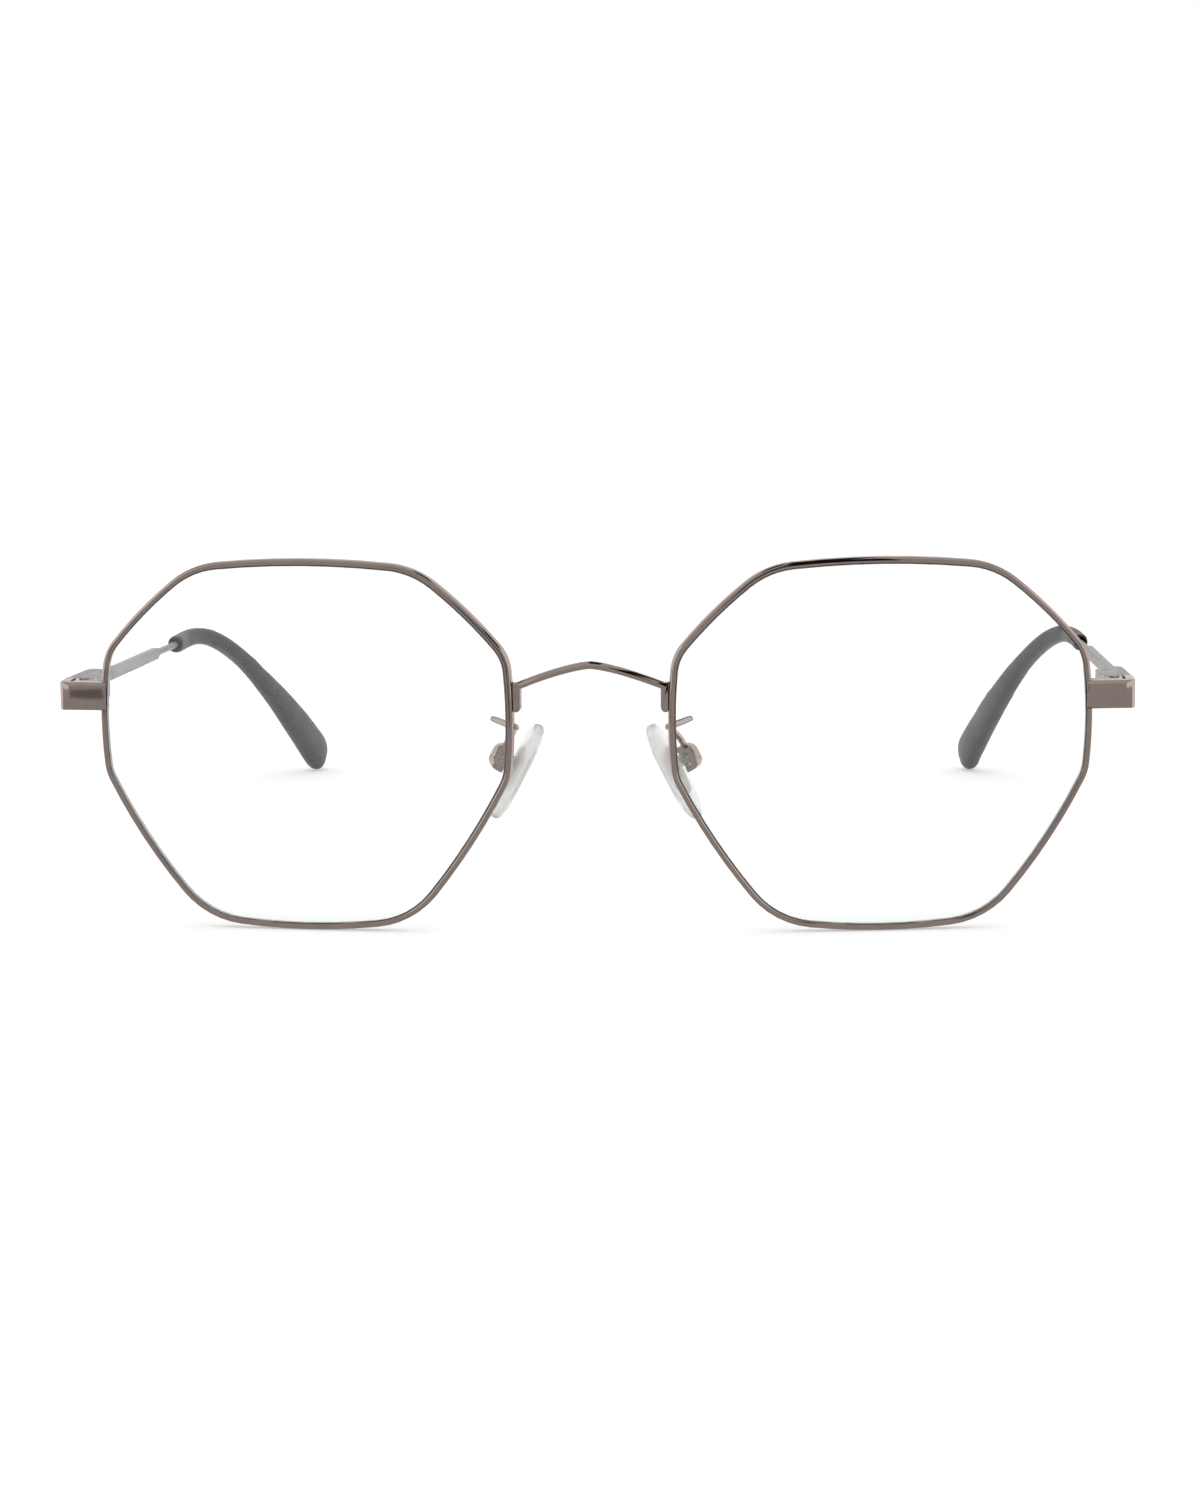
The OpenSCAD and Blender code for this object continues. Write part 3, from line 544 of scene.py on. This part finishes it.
class EYEGLASSES_OT_endpieces(PieceOperator, bpy.types.Operator):
    """Round the edges of the endpieces"""

    bl_idname = "eyeglasses.endpieces"
    bl_label = "Endpieces"

    def execute(self, context):
        detail = context.scene.eyeglasses_detail
        for side in SIDES:
            node = f"endpiece_{side}"
            plate = machined_copy(node, f"end_plate_{side}", detail.plate_edge)
            dress(plate, node, plated_metal())
        return {"FINISHED"}


class EYEGLASSES_OT_rim_locks(PieceOperator, bpy.types.Operator):
    """Finish the rim locks behind the endpieces and their screws"""

    bl_idname = "eyeglasses.rim_locks"
    bl_label = "Rim locks"

    def execute(self, context):
        detail = context.scene.eyeglasses_detail
        for side in SIDES:
            for part in ("upper", "lower"):
                node = f"lock_{part}_{side}"
                block = machined_copy(node, f"{part}_block_{side}", detail.hinge_edge)
                dress(block, node, plated_metal())
            node = f"lock_screw_{side}"
            screw = machined_copy(node, f"rim_screw_{side}", detail.screw_edge)
            dress(screw, node, screw_metal())
        return {"FINISHED"}


class EYEGLASSES_OT_hinges(PieceOperator, bpy.types.Operator):
    """Finish the hinge knuckles, leaves and screws"""

    bl_idname = "eyeglasses.hinges"
    bl_label = "Hinges"

    def execute(self, context):
        detail = context.scene.eyeglasses_detail
        parts = {
            "hinge_front": ("front_knuckles", detail.hinge_edge, plated_metal(), "rim_metal"),
            "hinge_leaf": ("temple_leaf", detail.hinge_edge, temple_metal(), "temple_metal"),
            "hinge_screw": ("axis_screw", detail.screw_edge, screw_metal(), "screw_metal"),
        }
        for side in SIDES:
            for part, (name, edge, material, slot) in parts.items():
                node = f"{part}_{side}"
                dress(machined_copy(node, f"{name}_{side}", edge), node, material)
        return {"FINISHED"}


class EYEGLASSES_OT_temples(PieceOperator, bpy.types.Operator):
    """Smooth the metal temples"""

    bl_idname = "eyeglasses.temples"
    bl_label = "Temples"

    def execute(self, context):
        detail = context.scene.eyeglasses_detail
        for side in SIDES:
            node = f"temple_{side}"
            bar = machined_copy(node, f"temple_bar_{side}", detail.temple_edge)
            dress(bar, node, temple_metal())
        return {"FINISHED"}


class EYEGLASSES_OT_temple_tips(PieceOperator, bpy.types.Operator):
    """Smooth the plastic temple tips"""

    bl_idname = "eyeglasses.temple_tips"
    bl_label = "Temple tips"

    def execute(self, context):
        for side in SIDES:
            node = f"temple_tip_{side}"
            dress(drawn_copy(node, f"tip_sleeve_{side}"), node, sleeve_plastic())
        return {"FINISHED"}


class EYEGLASSES_OT_pad_mounts(PieceOperator, bpy.types.Operator):
    """Finish the pad arms, their boxes and screws"""

    bl_idname = "eyeglasses.pad_mounts"
    bl_label = "Pad mounts"

    def execute(self, context):
        detail = context.scene.eyeglasses_detail
        for side in SIDES:
            node = f"pad_arm_{side}"
            dress(drawn_copy(node, f"arm_wire_{side}"), node, plated_metal())
            node = f"pad_box_{side}"
            box = machined_copy(node, f"box_shell_{side}", detail.plate_edge)
            dress(box, node, plated_metal())
            node = f"pad_screw_{side}"
            screw = machined_copy(node, f"box_screw_{side}", detail.screw_edge)
            dress(screw, node, screw_metal())
        return {"FINISHED"}


# The shape of a nose pad, and its insert's plate, tab and screw bore

END_FULLNESS = 3.4
BLUNTNESS = 0.3
POLE = 0.9999
INSERT_SIZE = (0.5 * MM, 3.4 * MM, 6.4 * MM)
TAB_RADIUS = 0.78 * MM
TAB_THICKNESS = 0.9 * MM
BORE_RADIUS = 0.44 * MM


def pad_matrix(side):
    """Where a pad's own frame lies: its screw is the origin and its Z runs up along the pad."""
    detail = bpy.context.scene.eyeglasses_detail
    joint = next(j for j in frame["joints"] if j["name"] == f"pad_{side}_rock")
    pin = Vector(joint["pos_m"])
    turned = Matrix.Rotation(-detail.pad_turn, 4, "Z") @ Matrix.Rotation(-detail.pad_lean, 4, "Y")
    mirror = Matrix.Scale(SIDES[side], 4, (1, 0, 0))
    return Matrix.Translation(pin) @ mirror @ turned


def pad_middle():
    detail = bpy.context.scene.eyeglasses_detail
    return Vector((-detail.pad_off - detail.pad_thickness / 2, 0, -detail.pad_low))


def make_pad(side):
    """The silicone drop: a stretched sphere with fuller and blunter ends than an ellipse."""
    detail = bpy.context.scene.eyeglasses_detail
    deselect_everything()
    bpy.ops.mesh.primitive_uv_sphere_add(segments=40, ring_count=24, radius=1)
    pad = bpy.context.active_object
    pad.name = f"pad_drop_{side}"
    start_edit(pad)
    bpy.ops.transform.resize(value=(detail.pad_thickness / 2, detail.pad_width / 2, detail.pad_length / 2))
    end_edit()
    for vertex in pad.data.vertices:
        height = min(abs(vertex.co.z) / (detail.pad_length / 2), 1)
        if height < POLE:
            fuller = math.sqrt((1 - height ** END_FULLNESS) / (1 - height ** 2))
            vertex.co.y *= fuller
            vertex.co.x *= fuller * (1 - height ** END_FULLNESS) ** (BLUNTNESS - 0.5)
    place_mesh(pad, pad_matrix(side) @ Matrix.Translation(pad_middle()))
    smooth_by_angle(pad, ROUND_ANGLE)
    return pad


def boolean(piece, other, operation):
    """Cuts or joins another mesh, which is then deleted."""
    apply_modifier(piece, "BOOLEAN", object=other, operation=operation, solver="EXACT")
    bpy.data.objects.remove(other)


def make_insert(side):
    """The hard plate inside a pad, with the tab that the pad screw passes through."""
    middle = pad_middle()
    deselect_everything()
    bpy.ops.mesh.primitive_cylinder_add(vertices=40, radius=0.5, depth=1, rotation=(0, QUARTER_TURN, 0))
    plate = bpy.context.active_object
    plate.name = f"pad_core_{side}"
    bpy.ops.object.transform_apply(location=True, rotation=True, scale=True)
    start_edit(plate)
    bpy.ops.transform.resize(value=INSERT_SIZE)
    bpy.ops.transform.translate(value=middle)
    end_edit()
    reach = -middle.x
    bpy.ops.mesh.primitive_cube_add(size=1, location=(middle.x / 2, 0, 0),
                                    scale=(reach, TAB_THICKNESS, 2 * TAB_RADIUS))
    boolean(plate, bpy.context.active_object, "UNION")
    bpy.ops.mesh.primitive_cylinder_add(vertices=40, radius=TAB_RADIUS, depth=TAB_THICKNESS,
                                        rotation=(QUARTER_TURN, 0, 0))
    boolean(plate, bpy.context.active_object, "UNION")
    bpy.ops.mesh.primitive_cylinder_add(vertices=40, radius=BORE_RADIUS, depth=2 * TAB_THICKNESS,
                                        rotation=(QUARTER_TURN, 0, 0))
    boolean(plate, bpy.context.active_object, "DIFFERENCE")
    place_mesh(plate, pad_matrix(side))
    smooth_by_angle(plate)
    return plate


class EYEGLASSES_OT_nose_pads(PieceOperator, bpy.types.Operator):
    """Model the milky nose pads and the inserts moulded into them"""

    bl_idname = "eyeglasses.nose_pads"
    bl_label = "Nose pads"

    def execute(self, context):
        for side in SIDES:
            dress(make_pad(side), f"nose_pad_{side}", pad_silicone())
            dress(make_insert(side), f"nose_pad_{side}", pad_insert())
        return {"FINISHED"}


# Stage

FLOOR_SIZE = 40
FLOOR_DROP = 0.05 * MM
LAMP_SIZE = 0.7
LAMP_PLACE = (0, -0.1, 0.8)
NEAREST_SEEN = 0.01
FARTHEST_SEEN = 100


def add_lamp(name, location, size, power):
    data = bpy.data.lights.new(name, "AREA")
    data.size = size
    data.energy = power
    lamp = bpy.data.objects.new(name, data)
    lamp.location = location
    lamp.rotation_mode = "QUATERNION"
    lamp.rotation_quaternion = Vector(location).to_track_quat("Z", "Y")
    bpy.context.scene.collection.objects.link(lamp)
    return lamp


def add_camera():
    stage = bpy.context.scene.eyeglasses_stage
    rim_low, rim_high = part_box("rim_left")
    target = Vector((stage.target_right, cad_low.y + stage.target_back,
                     (rim_low.z + rim_high.z) / 2 + stage.target_rise))
    back = Vector((math.sin(stage.yaw) * math.cos(stage.elevation),
                   -math.cos(stage.yaw) * math.cos(stage.elevation), math.sin(stage.elevation)))
    level = Vector((math.cos(stage.yaw), math.sin(stage.yaw), 0))
    up = back.cross(level)
    right = level * math.cos(stage.roll) + up * math.sin(stage.roll)
    data = bpy.data.cameras.new("photo_camera")
    data.sensor_width = SENSOR
    data.lens = stage.focal_pixels * SENSOR / PHOTO_HEIGHT
    data.clip_start = NEAREST_SEEN
    data.clip_end = FARTHEST_SEEN
    camera = bpy.data.objects.new("photo_camera", data)
    turn = Matrix((right, back.cross(right), back)).transposed().to_4x4()
    camera.matrix_world = Matrix.Translation(target + back * stage.distance) @ turn
    bpy.context.scene.collection.objects.link(camera)
    bpy.context.scene.camera = camera


def seen_ray(tree):
    """One on rays from the camera, a mirror or clear glass, and zero on others."""
    path = tree.nodes.new("ShaderNodeLightPath")
    seen = path.outputs["Is Camera Ray"]
    for kind in ("Is Glossy Ray", "Is Transmission Ray"):
        either = tree.nodes.new("ShaderNodeMath")
        either.operation = "MAXIMUM"
        tree.links.new(seen, either.inputs[0])
        tree.links.new(path.outputs[kind], either.inputs[1])
        seen = either.outputs[0]
    return seen


def add_world():
    """White where it is seen, and plain soft light elsewhere."""
    stage = bpy.context.scene.eyeglasses_stage
    world = bpy.data.worlds.new("studio")
    world.use_nodes = True
    tree = world.node_tree
    background = tree.nodes["Background"]
    background.inputs["Color"].default_value = (1, 1, 1, 1)
    strength = tree.nodes.new("ShaderNodeMapRange")
    strength.inputs["To Min"].default_value = stage.world_light
    strength.inputs["To Max"].default_value = 1
    tree.links.new(seen_ray(tree), strength.inputs["Value"])
    tree.links.new(strength.outputs["Result"], background.inputs["Strength"])
    bpy.context.scene.world = world


def add_floor():
    """A pale floor that keeps the soft shadow and looks white round it."""
    stage = bpy.context.scene.eyeglasses_stage
    deselect_everything()
    bpy.ops.mesh.primitive_plane_add(size=FLOOR_SIZE, location=(0, 0, -FLOOR_DROP))
    floor = bpy.context.active_object
    floor.name = "pale_floor"
    material = bpy.data.materials.new("pale_floor")
    material.use_nodes = True
    tree = material.node_tree
    shader = tree.nodes["Principled BSDF"]
    shader.inputs["Base Color"].default_value = (*stage.floor_colour, 1)
    shader.inputs["Roughness"].default_value = 0.9
    shader.inputs["Emission Color"].default_value = (1, 1, 1, 1)
    lift = tree.nodes.new("ShaderNodeMath")
    lift.operation = "MULTIPLY"
    lift.inputs[1].default_value = stage.floor_lift
    tree.links.new(seen_ray(tree), lift.inputs[0])
    tree.links.new(lift.outputs[0], shader.inputs["Emission Strength"])
    floor.data.materials.append(material)


# Cards that only mirrors show, and the flags among them: name, two corners in metres, brightness

CARD_REACH = 20 * MM
CARD_HALF_WIDTH = 0.7
CARD_FRONT = -1
CARD_THICKNESS = 0.02
ROOM_HEIGHT = 0.75
CEILING_HEIGHT = 0.5
CEILING_BACK = 0.3
FLAGS = (
    ("flag_over_bridge", (-0.005, -0.11, 0.1), (0.014, 0.005, 0.101), 0.005),
    ("flag_over_right_rim", (0.0215, -0.11, 0.07), (0.037, -0.05, 0.071), 0.005),
    ("flag_before_right_rim", (0.027, -0.152, 0.0262), (0.062, -0.15, 0.12), 0.005),
    ("flag_before_left_rim", (-0.044, -0.152, 0.0155), (-0.026, -0.15, 0.036), 0.005),
    ("flag_before_left_plate", (-0.0868, -0.104, 0.0221), (-0.0654, -0.103, 0.0275), 0.18),
)


def add_card(name, low, high, brightness):
    """A card between two corners that only mirrors show, as a studio sets one to shade metal."""
    low = Vector(low)
    high = Vector(high)
    size = high - low
    deselect_everything()
    bpy.ops.mesh.primitive_cube_add(size=1, location=(low + high) / 2, scale=size)
    card = bpy.context.active_object
    card.name = name
    material = bpy.data.materials.new(name)
    material.use_nodes = True
    shader = material.node_tree.nodes["Principled BSDF"]
    shader.inputs["Base Color"].default_value = (0, 0, 0, 1)
    shader.inputs["Specular IOR Level"].default_value = 0
    shader.inputs["Emission Color"].default_value = (1, 1, 1, 1)
    shader.inputs["Emission Strength"].default_value = brightness
    card.data.materials.append(material)
    card.visible_camera = False
    card.visible_diffuse = False
    card.visible_transmission = False
    card.visible_shadow = False


def add_cards():
    """Grey cards in front of and over the glasses, and dark flags near them, for the metal alone."""
    stage = bpy.context.scene.eyeglasses_stage
    left, right = -CARD_HALF_WIDTH, CARD_HALF_WIDTH
    table_end = cad_low.y + CARD_REACH
    add_card("room_behind_camera", (left, CARD_FRONT - CARD_THICKNESS, 0),
             (right, CARD_FRONT, ROOM_HEIGHT), stage.room_grey)
    add_card("table_in_front", (left, CARD_FRONT, 0), (right, table_end, MM), stage.room_grey)
    add_card("grey_ceiling", (left, CARD_FRONT, CEILING_HEIGHT),
             (right, CEILING_BACK, CEILING_HEIGHT + CARD_THICKNESS / 2), stage.ceiling_grey)
    for name, low, high, glow in FLAGS:
        add_card(name, low, high, glow)


class EYEGLASSES_OT_stage(bpy.types.Operator):
    """Set up the camera, the lamp, the floor, the cards and the white background"""

    bl_idname = "eyeglasses.stage"
    bl_label = "Stage"

    def execute(self, context):
        stage = context.scene.eyeglasses_stage
        context.scene.view_settings.view_transform = "Standard"
        add_camera()
        add_world()
        add_floor()
        add_cards()
        add_lamp("overhead_lamp", LAMP_PLACE, LAMP_SIZE, stage.lamp_power)
        return {"FINISHED"}


class EYEGLASSES_PT_panel(bpy.types.Panel):
    """Lists the pieces of the eyeglasses and their settings"""

    bl_label = "Eyeglasses"
    bl_space_type = "VIEW_3D"
    bl_region_type = "UI"
    bl_category = "Eyeglasses"

    def draw(self, context):
        for operator in OPERATORS:
            self.layout.operator(operator.bl_idname)
        for settings in (context.scene.eyeglasses_finish, context.scene.eyeglasses_detail,
                         context.scene.eyeglasses_stage):
            for name in settings.bl_rna.properties.keys():
                if name not in ("rna_type", "name"):
                    self.layout.prop(settings, name)


OPERATORS = (
    EYEGLASSES_OT_rims,
    EYEGLASSES_OT_lenses,
    EYEGLASSES_OT_bridge,
    EYEGLASSES_OT_endpieces,
    EYEGLASSES_OT_rim_locks,
    EYEGLASSES_OT_hinges,
    EYEGLASSES_OT_temples,
    EYEGLASSES_OT_temple_tips,
    EYEGLASSES_OT_pad_mounts,
    EYEGLASSES_OT_nose_pads,
    EYEGLASSES_OT_stage,
)
CLASSES = (FinishSettings, DetailSettings, StageSettings, *OPERATORS, EYEGLASSES_PT_panel)


def register():
    for item in CLASSES:
        bpy.utils.register_class(item)
    bpy.types.Scene.eyeglasses_finish = bpy.props.PointerProperty(type=FinishSettings)
    bpy.types.Scene.eyeglasses_detail = bpy.props.PointerProperty(type=DetailSettings)
    bpy.types.Scene.eyeglasses_stage = bpy.props.PointerProperty(type=StageSettings)


def unregister():
    del bpy.types.Scene.eyeglasses_stage
    del bpy.types.Scene.eyeglasses_detail
    del bpy.types.Scene.eyeglasses_finish
    for item in reversed(CLASSES):
        bpy.utils.unregister_class(item)


def main():
    register()
    for operator in OPERATORS:
        group, name = operator.bl_idname.split(".")
        getattr(getattr(bpy.ops, group), name)()


if __name__ == "__main__":
    main()
